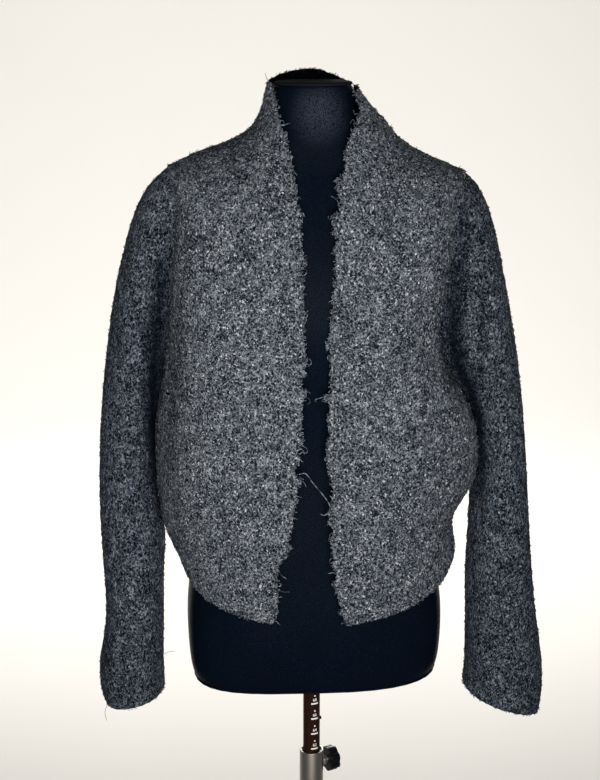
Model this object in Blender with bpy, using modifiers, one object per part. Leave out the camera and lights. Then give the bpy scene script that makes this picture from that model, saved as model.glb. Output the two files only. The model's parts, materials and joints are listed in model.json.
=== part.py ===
"""Wool jacket with a cut-on collar, hanging open on a limbless dress form with a pole stand.

Metres, +Z up. The origin is on the floor, on the pole's axis. The front faces -Y, and the
wearer's right side is at -X.
"""
import math

import bmesh
import bpy
from mathutils import Matrix, Vector

MM = 0.001

# Cloth
CLOTH_THICKNESS = 3.0 * MM
SEAM_PULL = 0.25 * MM            # each panel stops this short of its seam line
SHOULDER_ROW = 10                # grid rows from the collar top to the shoulder tip
UNDERARM_ROW = 22
HEM_ROW = 34
FRONT_COLUMNS = 10               # from the front edge to the side seam
BACK_COLUMNS = 9                 # from the centre back to the side seam
SLEEVE_ROWS = 18
FRONT_FULLNESS = 2.5             # exponent of the cross-section: 2 is an ellipse, more is squarer
BACK_FULLNESS = 2.3
CORNER_PULL = 0.038              # how far the columns draw towards the corner of a section

# Stand
BASE_RADIUS = 0.160
BASE_HEIGHT = 0.009
BASE_SLOPE = 0.06                # width of the plate's sloping rim
BASE_FLOOR = 0.003               # plate left under the tube
SOCKET_RADIUS = 0.024
SOCKET_HEIGHT = 0.042
EDGE_BREAK = 0.002
TUBE_RADIUS = 0.0145
TUBE_BORE = 0.0122
TUBE_TOP = 0.621
POLE_RADIUS = 0.0102
POLE_BOTTOM = 0.200
POLE_TOP = 0.880
INSERT_RADIUS = 0.0119
INSERT_BORE = 0.0105
INSERT_LENGTH = 0.035
RUN_GAP = 0.3 * MM               # between faces that touch on the real stand
CLAMP_Z = 0.6015
CLAMP_TURN = math.radians(28)    # the clamp screw points to the right and a little back
SCREW_RADIUS = 0.003
SCREW_HOLE = 0.0034
NUT_RADIUS = 0.0065
NUT_LENGTH = 0.0045
KNOB_RADIUS = 0.0155
KNOB_LENGTH = 0.012
KNOB_START = 0.0215              # from the pole's axis to the knob's inner face
KNOB_LOBES = 7
PIN_RADIUS = 0.0022
PIN_Z = 0.663
NECK_TOP = 1.4255
NECK_CAP_HEIGHT = 0.004

# Each table of the jacket has the columns row, x, y, z: grid row down from the collar top, and
# the place in millimetres. The wearer's right side is at -X.
FRONT_EDGE_RIGHT = [
    (0, -48, -36, 1428.5), (2, -37, -54, 1405), (4, -29, -66, 1374), (6, -23, -77, 1345),
    (8, -19.5, -88, 1317), (10, -17.5, -99, 1288), (14, -13.5, -115, 1222), (18, -12, -124, 1150),
    (22, -13.5, -127, 1078), (26, -21, -127, 1008), (29.5, -26, -126, 945), (31, -35, -125, 917),
    (34, -47, -121, 839)]
FRONT_EDGE_LEFT = [
    (0, 43, -34, 1421), (2, 48, -52, 1404), (4, 37, -65, 1376), (6, 29, -77, 1348),
    (8, 21, -89, 1323), (10, 16.5, -100, 1294), (14, 12.5, -116, 1225), (18, 12, -124, 1150),
    (22, 11, -127, 1078), (24, 10, -127, 1048), (26, 14, -127, 1008), (30, 18.5, -126, 925),
    (34, 27.5, -122, 835)]

# Collar side, shoulder seam and side seam, with the armhole between the shoulder and underarm
SIDE_RIGHT = [
    (0, -49, 4, 1428), (2, -55.5, 4, 1403), (4, -67, 3, 1379.5), (6, -90.5, 2, 1365),
    (8, -126, 0, 1353.5), (10, -162, 0, 1340), (22, -178, 2, 1072), (24, -182.4, 12, 1037),
    (26, -183, 10, 1000), (28, -180, 5, 960), (30, -174.5, 0, 921), (32, -160, 0, 893),
    (34, -150, 0, 873)]
SIDE_LEFT = [
    (0, 49.8, 4, 1421), (2, 60, 4, 1406.5), (4, 80, 3, 1387.5), (6, 98, 2, 1365.5),
    (8, 134, 0, 1345.5), (10, 171, 0, 1333), (22, 172, 2, 1076), (24, 178, 12, 1043),
    (26, 182, 12, 1002), (28, 175, 8, 961), (29.5, 164, 2, 933), (31, 166.5, 0, 909),
    (32.5, 168.5, 0, 891), (34, 161, 0, 876)]
ARMHOLE_FRONT_RIGHT = [
    (10, -162, 0, 1340), (12, -153, -37, 1318), (14, -153, -51, 1274), (16, -160, -48, 1227),
    (18, -163, -37, 1180), (20, -168, -21, 1124), (22, -178, 2, 1072)]
ARMHOLE_FRONT_LEFT = [
    (10, 171, 0, 1333), (12, 158, -38, 1315), (14, 154, -50, 1268), (16, 147, -45, 1215),
    (18, 140, -36, 1165), (20, 151, -22, 1113), (22, 172, 2, 1076)]
ARMHOLE_BACK_RIGHT = [
    (10, -162, 0, 1340), (12, -156, 41, 1318), (14, -158, 70, 1270), (16, -162, 80, 1220),
    (18, -165, 72, 1170), (20, -170, 46, 1114), (22, -178, 2, 1072)]
ARMHOLE_BACK_LEFT = [
    (10, 171, 0, 1333), (12, 161, 42, 1315), (14, 158, 70, 1268), (16, 156, 78, 1215),
    (18, 154, 70, 1165), (20, 158, 44, 1110), (22, 172, 2, 1076)]
CENTRE_BACK = [
    (0, 0, 62, 1440), (2, 1, 60, 1415), (4, 0, 62, 1388), (6, 0, 73, 1360), (8, 0, 86, 1330),
    (10, 0, 96, 1298), (14, 0, 107, 1230), (18, 0, 109, 1155), (22, 0, 106, 1075),
    (26, 0, 111, 1000), (30, 0, 121, 935), (34, 0, 112, 884)]

# Sleeve sections, in millimetres: sleeve row, x and z of the outer side, x and z of the inner
# side, y of the front and of the back
SLEEVE_RIGHT = [
    (1.3, -189, 1311, -181, 1062, -60, 72), (3, -209.5, 1256, -184.6, 1043, -61, 74),
    (5.5, -226, 1187, -183.9, 1008, -60, 72), (7.5, -236.5, 1121, -182.2, 974, -56, 68),
    (9, -244, 1056, -179.2, 942, -54, 66),
    (10.5, -248.5, 985, -172.8, 908, -53, 65), (12, -249, 915, -175.5, 872, -53, 64),
    (13.5, -246, 850, -177, 828, -52, 62), (15, -246, 790, -178, 780, -51, 60),
    (16.2, -257.5, 742, -179, 748, -51, 60), (17, -256.5, 718, -179, 728, -50, 59),
    (18, -250, 696, -178, 712, -48, 57)]
SLEEVE_LEFT = [
    (1.3, 192.5, 1309, 178, 1067, -56, 72), (3, 210, 1253, 184, 1052, -54, 74),
    (5.5, 225, 1186, 188, 1022, -50, 72), (7.5, 237.5, 1121, 191, 990, -47, 68),
    (9, 246.5, 1056, 191, 958, -47, 66), (10.5, 253, 985, 189.5, 922, -50, 65),
    (12, 259, 905, 188, 884, -53, 64),
    (13.5, 265, 845, 186, 842, -53, 62), (15, 272, 790, 188, 792, -53, 61),
    (16.2, 281, 738, 188, 748, -53, 61), (17, 283, 708, 188, 726, -53, 60),
    (18, 279.5, 674, 186, 704, -51, 58)]

# Soft folds of a sleeve: place round the ring as a share of a turn from the outer side
# (0.25 is the front), half width as a share, first row, last row, depth in millimetres
FOLDS_RIGHT = [
    (0.36, 0.10, 0.6, 11.0, 9.0), (0.17, 0.07, 5.0, 10.0, 2.5), (0.24, 0.09, 13.2, 16.0, 2.5),
    (0.76, 0.08, 2.0, 9.5, 7.0), (0.66, 0.07, 9.0, 14.5, 4.0)]
FOLDS_LEFT = [
    (0.35, 0.10, 0.6, 11.0, 11.0), (0.15, 0.07, 7.0, 12.0, 2.5), (0.23, 0.09, 12.8, 15.6, 3.0),
    (0.75, 0.08, 2.0, 9.5, 7.0), (0.68, 0.07, 9.0, 15.0, 4.0)]

# Soft folds of the body: side of the wearer, place across the front or back as a share from
# the front edge or the centre back, half width, first row, last row, depth. A fold of negative
# depth stands out: the wool belly that lies in front of the left sleeve.
FOLDS_FRONT = [
    ("right", 0.72, 0.16, 20.0, 33.0, 4.0), ("left", 0.80, 0.28, 21.0, 29.3, -16.0),
    ("left", 0.55, 0.20, 12.0, 24.0, 2.5), ("right", 0.55, 0.18, 9.0, 17.0, 2.0)]
FOLDS_BACK = [
    ("right", 0.55, 0.18, 14.0, 31.0, 6.0), ("left", 0.50, 0.18, 13.0, 30.0, 6.0),
    ("right", 0.15, 0.12, 20.0, 33.0, 3.0), ("left", 0.22, 0.12, 22.0, 33.5, 3.5)]
HEM_RIDGE_ROW = 32.0             # top of the turned-up hem, a low step in the wool
HEM_RIDGE = 1.2

# Dress form sections, in millimetres: height, half width, reach to the front, reach to the back
FORM_SECTIONS = [
    (NECK_TOP / MM, 44.5, 43, 43), (NECK_TOP / MM - 4, 46, 45, 45), (1400, 46.5, 45.5, 46.5),
    (1388, 51, 48, 50), (1378, 57, 50, 53), (1369, 70, 52, 56), (1359.2, 92.4, 53.6, 59.6),
    (1345.1, 121, 57, 62.5), (1329, 138, 62, 69), (1308, 146, 71, 77), (1285, 147, 81, 84),
    (1250, 145, 94, 90), (1205, 140, 106, 92), (1165, 135, 110, 88), (1125, 127, 104, 83),
    (1060, 115, 93, 78), (1010, 112, 90, 80), (960, 121, 93, 90), (900, 139, 98, 100),
    (840, 149, 102, 105), (800, 150, 104, 104), (762, 147.5, 102, 102), (746, 144, 99, 98),
    (739, 139, 94, 93), (736, 132, 87, 86)]
FORM_SIDES = 36
FORM_SQUARE = 2.4                # exponent of the sections
FOOT_SQUARE = 3.6                # squarer at the foot, on the wearer's right
FOOT_SQUARE_LEFT = 2.7
FOOT_EASE = (830, 750)           # heights over which the sections turn squarer
HIP_LEFT = 5.5                   # the left hip stands out by this much more
HIP_EASE = (882, 826)
BORE_RADIUS = POLE_RADIUS + RUN_GAP

COLOURS = {
    "wool": ((0.085, 0.085, 0.09, 1.0), 0.95, 0.0),
    "form_cover": ((0.008, 0.009, 0.016, 1.0), 0.7, 0.0),
    "neck_cap": ((0.03, 0.027, 0.026, 1.0), 0.6, 0.0),
    "pole": ((0.06, 0.018, 0.012, 1.0), 0.35, 0.0),
    "brushed_metal": ((0.55, 0.53, 0.5, 1.0), 0.35, 1.0),
    "black_plastic": ((0.01, 0.01, 0.011, 1.0), 0.4, 0.0),
    "base_paint": ((0.02, 0.02, 0.021, 1.0), 0.45, 0.2),
}


def clear_scene():
    for item in list(bpy.data.objects):
        bpy.data.objects.remove(item, do_unlink=True)


def make_collections():
    parts = bpy.data.collections.new("wool_jacket_on_a_dress_form")
    cutters = bpy.data.collections.new("cutters")
    for collection in (parts, cutters):
        bpy.context.scene.collection.children.link(collection)
    return parts, cutters


def material(name, finish):
    colour, roughness, metallic = COLOURS[finish]
    result = bpy.data.materials.new(name)
    result.use_nodes = True
    shader = result.node_tree.nodes["Principled BSDF"]
    shader.inputs["Base Color"].default_value = colour
    shader.inputs["Roughness"].default_value = roughness
    shader.inputs["Metallic"].default_value = metallic
    return result


def add_object(name, bm, collection, finish):
    mesh = bpy.data.meshes.new(name)
    bm.normal_update()
    bm.to_mesh(mesh)
    bm.free()
    mesh.shade_smooth()
    mesh.set_sharp_from_angle(angle=math.radians(40))
    item = bpy.data.objects.new(name, mesh)
    item.data.materials.append(material(name, finish))
    collection.objects.link(item)
    return item


def along(table, row):
    """A smooth curve through a table's rows, read at one row: a list of its other columns."""
    spots = [entry[0] for entry in table]
    last = len(table) - 1
    index = 0
    while index < last - 1 and row > spots[index + 1]:
        index += 1

    def slope(i, column):
        low, high = max(i - 1, 0), min(i + 1, last)
        return (table[high][column] - table[low][column]) / (spots[high] - spots[low])

    span = spots[index + 1] - spots[index]
    t = (row - spots[index]) / span
    values = []
    for column in range(1, len(table[0])):
        start, end = table[index][column], table[index + 1][column]
        value = ((2 * t ** 3 - 3 * t ** 2 + 1) * start + (3 * t ** 2 - 2 * t ** 3) * end
                 + (t ** 3 - 2 * t ** 2 + t) * span * slope(index, column)
                 + (t ** 3 - t ** 2) * span * slope(index + 1, column))
        values.append(value)
    return values


def point_on(table, row):
    return Vector(along(table, row)) * MM


def bump(value, centre, half_width):
    """A soft hump of height 1 that falls to 0 at half_width."""
    share = abs(value - centre) / half_width
    return 0.0 if share >= 1 else math.cos(share * math.pi / 2) ** 2


def span_fade(row, first, last):
    """1 between two rows, easing to 0 over a quarter of the stretch at both ends."""
    ease = (last - first) / 3
    share = min(row - first, last - row) / ease
    share = min(max(share, 0.0), 1.0)
    return share * share * (3 - 2 * share)


def quarter_round(middle, side, share, fullness):
    """A point of the cross-section from its middle line to its side line."""
    turn = share * math.pi / 2
    out = math.sin(turn) ** (2 / fullness)
    back = math.cos(turn) ** (2 / fullness) if share < 1 else 0.0
    return Vector((middle.x + (side.x - middle.x) * out,
                   side.y + (middle.y - side.y) * back,
                   middle.z + (side.z - middle.z) * (0.35 * share + 0.65 * out ** 1.7)))


def spread(index, count):
    """Steps along the quarter round, drawn towards its corner, where the section turns."""
    share = index / count
    return share + CORNER_PULL * math.sin(2 * math.pi * share)


class Garment:
    """The outer surface of the whole jacket: shared points, and the faces of each panel."""

    def __init__(self):
        self.bm = bmesh.new()
        self.grid = {}
        self.faces = {}

    def point(self, key, place):
        if key not in self.grid:
            self.grid[key] = self.bm.verts.new(place)
        return self.grid[key]

    def quad(self, panel, corners):
        face = self.bm.faces.new(corners)
        self.faces.setdefault(panel, []).append(face)

    def wall(self, panel):
        """A closed wall behind one panel's faces, kept off its seams."""
        faces = self.faces[panel]
        own = set(faces)
        verts = list(dict.fromkeys(v for f in faces for v in f.verts))
        rim = [e for f in faces for e in f.edges if sum(n in own for n in e.link_faces) == 1]
        result = bmesh.new()
        outer, inner = {}, {}
        for vert in verts:
            place = vert.co + self.seam_pull(vert, own, rim)
            outer[vert] = result.verts.new(place)
            inner[vert] = result.verts.new(place - vert.normal * CLOTH_THICKNESS)
        for face in faces:
            result.faces.new([outer[v] for v in face.verts])
            result.faces.new([inner[v] for v in reversed(face.verts)])
            for loop in face.loops:
                start, end = loop.vert, loop.link_loop_next.vert
                if sum(n in own for n in loop.edge.link_faces) == 1:
                    result.faces.new([outer[end], outer[start], inner[start], inner[end]])
        bmesh.ops.triangulate(result, faces=result.faces[:])
        return result

    def seam_pull(self, vert, own, rim):
        """The step from a seam point into the panel, nothing at a free edge."""
        if all(f in own for f in vert.link_faces):
            return Vector()
        middle = sum((f.calc_center_median() for f in vert.link_faces if f in own), Vector())
        middle /= sum(f in own for f in vert.link_faces)
        step = middle - vert.co
        step -= vert.normal * step.dot(vert.normal)
        ends = [e.other_vert(vert).co for e in vert.link_edges
                if e in rim and any(f not in own for f in e.link_faces)]
        if len(ends) == 2:
            seam = (ends[1] - ends[0]).normalized()
            step -= seam * step.dot(seam)
        return step.normalized() * SEAM_PULL


def body_places(side):
    """Rows of places of one half of the body: front panel and back panel."""
    right = side == "right"
    edge = FRONT_EDGE_RIGHT if right else FRONT_EDGE_LEFT
    seam = SIDE_RIGHT if right else SIDE_LEFT
    arm_front = ARMHOLE_FRONT_RIGHT if right else ARMHOLE_FRONT_LEFT
    arm_back = ARMHOLE_BACK_RIGHT if right else ARMHOLE_BACK_LEFT
    upper = [entry for entry in seam if entry[0] <= SHOULDER_ROW]
    lower = [entry for entry in seam if entry[0] >= UNDERARM_ROW]
    fronts, backs = [], []
    for row in range(HEM_ROW + 1):
        if row <= SHOULDER_ROW:
            side_front = side_back = point_on(upper, row)
        elif row >= UNDERARM_ROW:
            side_front = side_back = point_on(lower, row)
        else:
            side_front, side_back = point_on(arm_front, row), point_on(arm_back, row)
        start, middle = point_on(edge, row), point_on(CENTRE_BACK, row)
        front = [quarter_round(start, side_front, spread(i, FRONT_COLUMNS), FRONT_FULLNESS)
                 for i in range(FRONT_COLUMNS + 1)]
        back = [quarter_round(middle, side_back, spread(i, BACK_COLUMNS), BACK_FULLNESS)
                for i in range(BACK_COLUMNS + 1)]
        crease(front, row, side, FOLDS_FRONT, FRONT_COLUMNS)
        crease(back, row, side, FOLDS_BACK, BACK_COLUMNS)
        ridge = HEM_RIDGE * MM * span_fade(row, HEM_RIDGE_ROW - 1, HEM_ROW + 3)
        for places in (front, back):
            for place in places[:-1]:
                place += Vector((place.x, place.y, 0)).normalized() * ridge
        fronts.append(front)
        backs.append(back)
    return fronts, backs


def crease(places, row, side, folds, columns):
    """Soft hollows pressed in towards the form."""
    for who, where, width, first, last, depth in folds:
        if who != side:
            continue
        for index in range(1, columns):
            place = places[index]
            sink = depth * MM * bump(index / columns, where, width) * span_fade(row, first, last)
            place -= Vector((place.x, place.y, 0)).normalized() * sink


def sleeve_places(side, armhole):
    """Rings of places of one sleeve, from the armhole to the cuff."""
    table = SLEEVE_RIGHT if side == "right" else SLEEVE_LEFT
    folds = FOLDS_RIGHT if side == "right" else FOLDS_LEFT
    count = len(armhole)
    rings = [list(armhole)]
    ring_tables = []
    for index in range(count):
        turn = 2 * math.pi * index / count
        rows = [(0, *(armhole[index] / MM))]
        for row, out_x, out_z, in_x, in_z, front, back in table:
            share = 0.5 + 0.5 * math.copysign(abs(math.cos(turn)) ** 0.9, math.cos(turn))
            middle = (front + back) / 2
            reach = (back - front) / 2 * abs(math.sin(turn)) ** 0.9
            y = middle - reach if index <= count / 2 else middle + reach
            rows.append((row, in_x + (out_x - in_x) * share, y, in_z + (out_z - in_z) * share))
        ring_tables.append(rows)
    for row in range(1, SLEEVE_ROWS + 1):
        ring = [point_on(rows, row) for rows in ring_tables]
        centre = sum(ring, Vector()) / count
        for index, place in enumerate(ring):
            for where, width, first, last, depth in folds:
                sink = depth * MM * bump(index / count, where, width) * span_fade(row, first, last)
                place += (centre - place).normalized() * sink
        rings.append(ring)
    return rings


def build_jacket(collection):
    garment = Garment()
    for side in ("right", "left"):
        fronts, backs = body_places(side)
        flip = side == "left"

        def key(part, row, column):
            seam = FRONT_COLUMNS if part == "front" else BACK_COLUMNS
            joined = row <= SHOULDER_ROW or row >= UNDERARM_ROW
            if column == seam and joined:
                return (side, "seam", row)
            if part == "back" and column == 0:
                return ("centre", row)
            return (side, part, row, column)

        for part, places, columns in (("front", fronts, FRONT_COLUMNS),
                                      ("back", backs, BACK_COLUMNS)):
            panel = "front_" + side if part == "front" else "back"
            for row in range(HEM_ROW):
                for column in range(columns):
                    corners = [garment.point(key(part, r, c), places[r][c])
                               for r, c in ((row, column), (row + 1, column),
                                            (row + 1, column + 1), (row, column + 1))]
                    turned = flip if part == "front" else not flip
                    garment.quad(panel, corners if turned else corners[::-1])
        armhole_keys = ([key("front", row, FRONT_COLUMNS)
                         for row in range(SHOULDER_ROW, UNDERARM_ROW + 1)]
                        + [key("back", row, BACK_COLUMNS)
                           for row in range(UNDERARM_ROW - 1, SHOULDER_ROW, -1)])
        ring = [garment.grid[item].co.copy() for item in armhole_keys]
        rings = sleeve_places(side, ring)
        count = len(ring)
        for row in range(SLEEVE_ROWS):
            for index in range(count):
                corners = []
                for r, i in ((row, index), (row, (index + 1) % count),
                             (row + 1, (index + 1) % count), (row + 1, index)):
                    name = armhole_keys[i] if r == 0 else (side, "sleeve", r, i)
                    corners.append(garment.point(name, rings[r][i]))
                garment.quad("sleeve_" + side, corners if flip else corners[::-1])
    garment.bm.normal_update()
    for panel in ("front_right", "front_left", "back", "sleeve_right", "sleeve_left"):
        add_object(panel, garment.wall(panel), collection, "wool")
    garment.bm.free()


def ring_of(bm, height, half_width, front, back, squares, left_extra=0.0):
    """A section of the form: squares holds the exponents of its right and left halves."""
    verts = []
    for index in range(FORM_SIDES):
        turn = 2 * math.pi * index / FORM_SIDES
        cosine, sine = math.cos(turn), math.sin(turn)
        square = squares[1] if cosine > 0 else squares[0]
        width = half_width + left_extra if cosine > 0 else half_width
        x = width * math.copysign(abs(cosine) ** (2 / square), cosine)
        reach = back if sine > 0 else front
        y = reach * math.copysign(abs(sine) ** (2 / square), sine)
        verts.append(bm.verts.new((x * MM, y * MM, height * MM)))
    return verts


def eased(height, ease):
    """0 above the first height of ease, 1 below its second, smooth between."""
    start, end = ease
    share = min(max((start - height) / (start - end), 0), 1)
    return share * share * (3 - 2 * share)


def squareness(height):
    """The exponents of the form's section at a height in millimetres, right and left."""
    share = eased(height, FOOT_EASE)
    return [FORM_SQUARE + (foot - FORM_SQUARE) * share for foot in (FOOT_SQUARE, FOOT_SQUARE_LEFT)]


def build_form(collection):
    """The padded torso with its pole bore, and the cap on its neck."""
    bm = bmesh.new()
    rings = [ring_of(bm, *section, squareness(section[0]), HIP_LEFT * eased(section[0], HIP_EASE))
             for section in FORM_SECTIONS]
    bore = BORE_RADIUS / MM
    bottom = FORM_SECTIONS[-1][0]
    rings.append(ring_of(bm, bottom, bore, bore, bore, (2, 2)))
    rings.append(ring_of(bm, (POLE_TOP + RUN_GAP) / MM, bore, bore, bore, (2, 2)))
    for upper, lower in zip(rings, rings[1:]):
        for index in range(FORM_SIDES):
            after = (index + 1) % FORM_SIDES
            bm.faces.new((upper[index], lower[index], lower[after], upper[after]))
    bm.faces.new(rings[0])
    bm.faces.new(rings[-1][::-1])
    bmesh.ops.triangulate(bm, faces=bm.faces[:])
    add_object("torso", bm, collection, "form_cover")
    bm = bmesh.new()
    top = NECK_TOP + RUN_GAP
    bmesh.ops.create_cone(bm, cap_ends=True, segments=FORM_SIDES, radius1=0.0438, radius2=0.042,
                          depth=NECK_CAP_HEIGHT,
                          matrix=Matrix.Translation((0, 0, top + NECK_CAP_HEIGHT / 2)))
    add_object("neck_cap", bm, collection, "neck_cap")


def turned(name, profile, collection, finish, steps=32):
    """A piece turned about Z from (radius, height) points: a ring, or a disc from the axis."""
    bm = bmesh.new()
    verts = [bm.verts.new((radius, 0, height)) for radius, height in profile]
    on_axis = profile[0][0] == 0
    for start, end in zip(verts, verts[1:] if on_axis else verts[1:] + verts[:1]):
        bm.edges.new((start, end))
    mesh = bpy.data.meshes.new(name)
    bm.to_mesh(mesh)
    bm.free()
    item = bpy.data.objects.new(name, mesh)
    item.data.materials.append(material(name, finish))
    collection.objects.link(item)
    screw = item.modifiers.new("turn", "SCREW")
    screw.axis = "Z"
    screw.steps = screw.render_steps = steps
    screw.use_merge_vertices = True
    screw.merge_threshold = 0.00001
    screw.use_smooth_shade = True
    return item


def cylinder(name, radius, length, place, collection, finish=None, axis="Z", turn=0.0,
             segments=32):
    """A closed cylinder that starts at its place and runs along Z, or along X turned about Z."""
    bm = bmesh.new()
    bmesh.ops.create_cone(bm, cap_ends=True, segments=segments, radius1=radius, radius2=radius,
                          depth=length, matrix=Matrix.Translation((0, 0, length / 2)))
    if axis == "X":
        bm.transform(Matrix.Rotation(turn, 4, "Z") @ Matrix.Rotation(math.pi / 2, 4, "Y"))
    if finish is None:
        mesh = bpy.data.meshes.new(name)
        bm.to_mesh(mesh)
        bm.free()
        item = bpy.data.objects.new(name, mesh)
        item.hide_render = True
        item.display_type = "WIRE"
        collection.objects.link(item)
    else:
        item = add_object(name, bm, collection, finish)
    item.location = place
    return item


def cut(item, cutter):
    boolean = item.modifiers.new("cut", "BOOLEAN")
    boolean.operation = "DIFFERENCE"
    boolean.object = cutter


def outward(distance):
    """A place along the clamp screw's axis."""
    return Vector((math.cos(CLAMP_TURN) * distance, math.sin(CLAMP_TURN) * distance, CLAMP_Z))


def build_stand(collection, cutters):
    seat = TUBE_RADIUS + RUN_GAP
    turned("base_plate", [(0, BASE_FLOOR), (seat, BASE_FLOOR), (seat, BASE_HEIGHT),
                          (BASE_RADIUS - BASE_SLOPE, BASE_HEIGHT),
                          (BASE_RADIUS, BASE_HEIGHT * 0.6), (BASE_RADIUS, EDGE_BREAK / 2),
                          (BASE_RADIUS - EDGE_BREAK / 2, 0), (0, 0)],
           collection, "base_paint", 40)
    foot = BASE_HEIGHT + RUN_GAP
    turned("base_socket", [(SOCKET_RADIUS - 2 * EDGE_BREAK, SOCKET_HEIGHT),
                           (SOCKET_RADIUS, SOCKET_HEIGHT - 2 * EDGE_BREAK),
                           (SOCKET_RADIUS, foot), (seat, foot), (seat, SOCKET_HEIGHT)],
           collection, "base_paint")
    bottom = BASE_FLOOR + RUN_GAP
    rim = EDGE_BREAK * 0.3
    tube = turned("outer_tube", [(TUBE_RADIUS - rim, TUBE_TOP), (TUBE_RADIUS, TUBE_TOP - rim),
                                 (TUBE_RADIUS, bottom), (TUBE_BORE, bottom),
                                 (TUBE_BORE, TUBE_TOP)], collection, "brushed_metal")
    top, end = TUBE_TOP - EDGE_BREAK / 2, TUBE_TOP - INSERT_LENGTH
    insert = turned("tube_insert", [(INSERT_RADIUS, top), (INSERT_RADIUS, end),
                                    (INSERT_BORE, end), (INSERT_BORE, top)],
                    collection, "black_plastic")
    cylinder("inner_pole", POLE_RADIUS, POLE_TOP - POLE_BOTTOM, (0, 0, POLE_BOTTOM),
             collection, "pole")
    hole = cylinder("clamp_hole", SCREW_HOLE, 0.02, outward(POLE_RADIUS), cutters, axis="X",
                    turn=CLAMP_TURN, segments=20)
    cut(tube, hole)
    cut(insert, hole)
    nut = cylinder("clamp_nut", NUT_RADIUS, NUT_LENGTH, outward(TUBE_RADIUS + RUN_GAP),
                   collection, "brushed_metal", axis="X", turn=CLAMP_TURN, segments=6)
    cut(nut, hole)
    cylinder("clamp_screw", SCREW_RADIUS, KNOB_START - POLE_RADIUS - 2 * RUN_GAP,
             outward(POLE_RADIUS + RUN_GAP), collection, "brushed_metal", axis="X",
             turn=CLAMP_TURN, segments=20)
    build_knob(collection)
    cylinder("stop_pin", PIN_RADIUS, 0.0016, (POLE_RADIUS + RUN_GAP, 0, PIN_Z), collection,
             "black_plastic", axis="X", segments=16)


def build_knob(collection):
    """The lobed clamp knob, with its lobes as a smooth wave round its rim."""
    bm = bmesh.new()
    steps = KNOB_LOBES * 6
    rings = []
    for height, share in ((0, 0.86), (0.0015, 1.0), (KNOB_LENGTH - 0.0025, 1.0),
                          (KNOB_LENGTH, 0.82)):
        ring = []
        for index in range(steps):
            turn = 2 * math.pi * index / steps
            radius = KNOB_RADIUS * share * (0.93 + 0.07 * math.cos(KNOB_LOBES * turn))
            ring.append(bm.verts.new((radius * math.cos(turn), radius * math.sin(turn), height)))
        rings.append(ring)
    for lower, upper in zip(rings, rings[1:]):
        for index in range(steps):
            after = (index + 1) % steps
            bm.faces.new((lower[index], lower[after], upper[after], upper[index]))
    bm.faces.new(rings[0][::-1])
    bm.faces.new(rings[-1])
    bm.transform(Matrix.Rotation(CLAMP_TURN, 4, "Z") @ Matrix.Rotation(math.pi / 2, 4, "Y"))
    knob = add_object("clamp_knob", bm, collection, "black_plastic")
    knob.location = outward(KNOB_START)


def main():
    clear_scene()
    parts, cutters = make_collections()
    build_jacket(parts)
    build_form(parts)
    build_stand(parts, cutters)


main()
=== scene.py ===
"""Looks of a wool jacket on a dress form: bouclé cloth, frayed edges, form, stand and studio."""

import json
import logging
import math
from collections.abc import Callable
from dataclasses import dataclass, field, replace
from enum import Enum

import bmesh
import bpy
import numpy as np
from mathutils import Matrix, Vector, noise

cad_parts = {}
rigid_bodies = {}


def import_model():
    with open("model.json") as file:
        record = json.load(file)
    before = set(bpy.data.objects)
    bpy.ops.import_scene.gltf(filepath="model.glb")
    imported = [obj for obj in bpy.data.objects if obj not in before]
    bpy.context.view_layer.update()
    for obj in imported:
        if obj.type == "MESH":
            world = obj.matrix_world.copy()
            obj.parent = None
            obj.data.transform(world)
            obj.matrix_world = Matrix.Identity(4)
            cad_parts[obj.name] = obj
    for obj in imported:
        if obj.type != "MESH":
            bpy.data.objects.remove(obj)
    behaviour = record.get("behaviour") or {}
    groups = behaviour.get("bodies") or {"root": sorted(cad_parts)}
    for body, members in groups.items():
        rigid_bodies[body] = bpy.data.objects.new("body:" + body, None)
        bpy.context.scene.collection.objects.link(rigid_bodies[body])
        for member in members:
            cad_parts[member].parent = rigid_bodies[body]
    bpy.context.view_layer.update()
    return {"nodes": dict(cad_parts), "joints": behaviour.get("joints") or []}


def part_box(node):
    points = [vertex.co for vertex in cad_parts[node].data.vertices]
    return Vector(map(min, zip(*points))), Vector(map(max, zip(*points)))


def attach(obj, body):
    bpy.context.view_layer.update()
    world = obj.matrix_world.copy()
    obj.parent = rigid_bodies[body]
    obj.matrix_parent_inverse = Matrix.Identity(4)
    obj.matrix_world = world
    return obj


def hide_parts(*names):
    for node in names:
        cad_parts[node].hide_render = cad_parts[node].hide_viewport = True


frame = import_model()

MM = 0.001
Colour = tuple[float, float, float]
Point = tuple[float, float, float]
YARN_END = 0.35
LOG = logging.getLogger("jacket")


# --------------------------------------------------------------------------- shader expressions


def _operator(operation: str, swapped: bool = False) -> Callable:
    """The method for an arithmetic sign between a socket and something else.

    Args:
        operation: the Math node's operation.
        swapped: whether the socket is the second operand.

    Returns:
        The method.
    """

    def method(self: "Sock", other: object) -> "Sock":
        """Adds the Math node and returns its result."""
        return self.maths(operation, *((other, self) if swapped else (self, other)))

    return method


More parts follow.
